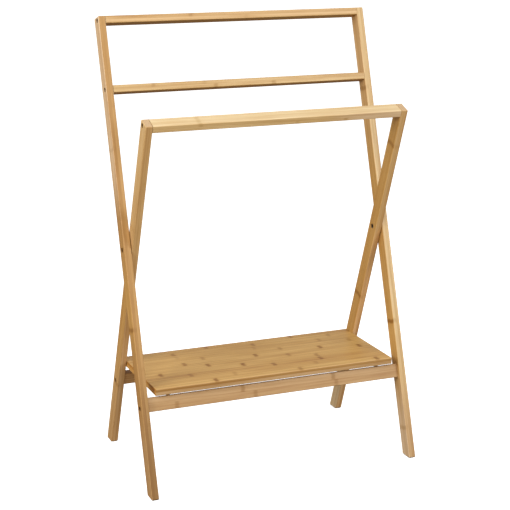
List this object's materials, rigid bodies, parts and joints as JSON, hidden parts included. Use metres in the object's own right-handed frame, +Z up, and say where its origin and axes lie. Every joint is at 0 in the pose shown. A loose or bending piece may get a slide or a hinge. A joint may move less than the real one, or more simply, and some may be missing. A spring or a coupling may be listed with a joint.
{
  "type": "folding towel rack",
  "caption": "Free-standing folding towel rack of bamboo sticks: a tall and a short frame cross on pivot bolts, with towel rails above and a hinged shelf board below.",
  "frame": {"origin": "centre of the footprint at floor level", "axes": "+X along the rails to the user's right, +Y to the back, +Z up"},
  "size_m": [0.512, 0.3146, 0.8049],
  "materials": {
    "bamboo_outer": "satin oiled bamboo",
    "bamboo_inner": "satin oiled bamboo",
    "bamboo_shelf": "satin laminated bamboo board",
    "dowel_wood": "plain turned wood",
    "steel": "zinc plated",
    "washer": "natural nylon",
    "foot_pad": "matt dark rubber"
  },
  "bodies": {
    "tall_frame": {"outer_leg_left": "bamboo_outer", "outer_leg_right": "bamboo_outer", "top_rail": "bamboo_outer", "middle_rail": "bamboo_outer", "front_crossbar": "bamboo_outer", "outer_frame_screws": "steel", "outer_frame_dowels": "dowel_wood", "shelf_pegs": "dowel_wood", "foot_pad_front_left": "foot_pad", "foot_pad_front_right": "foot_pad", "pivot_bolt_left": "steel", "pivot_bolt_right": "steel", "pivot_nut_left": "steel", "pivot_nut_right": "steel", "pivot_washer_left": "washer", "pivot_washer_right": "washer"},
    "short_frame": {"inner_leg_left": "bamboo_inner", "inner_leg_right": "bamboo_inner", "front_rail": "bamboo_inner", "rear_crossbar": "bamboo_inner", "inner_frame_screws": "steel", "inner_frame_dowels": "dowel_wood", "foot_pad_rear_left": "foot_pad", "foot_pad_rear_right": "foot_pad", "shelf_pin_left": "steel", "shelf_pin_right": "steel"},
    "shelf": {"shelf_board": "bamboo_shelf"}
  },
  "joints": [
    {"name": "frame_fold", "type": "hinge", "parent": "tall_frame", "child": "short_frame", "pos_m": [0, -0.01541, 0.4115], "axis": [-1, 0, 0], "range_deg": [0, 34.3]},
    {"name": "shelf_lift", "type": "hinge", "parent": "short_frame", "child": "shelf", "pos_m": [0, 0.07609, 0.1756], "axis": [-1, 0, 0], "range_deg": [0, 68.7]}
  ],
  "couplings": [
    {"joint": "shelf_lift", "follows": "frame_fold", "ratio": 2}
  ]
}
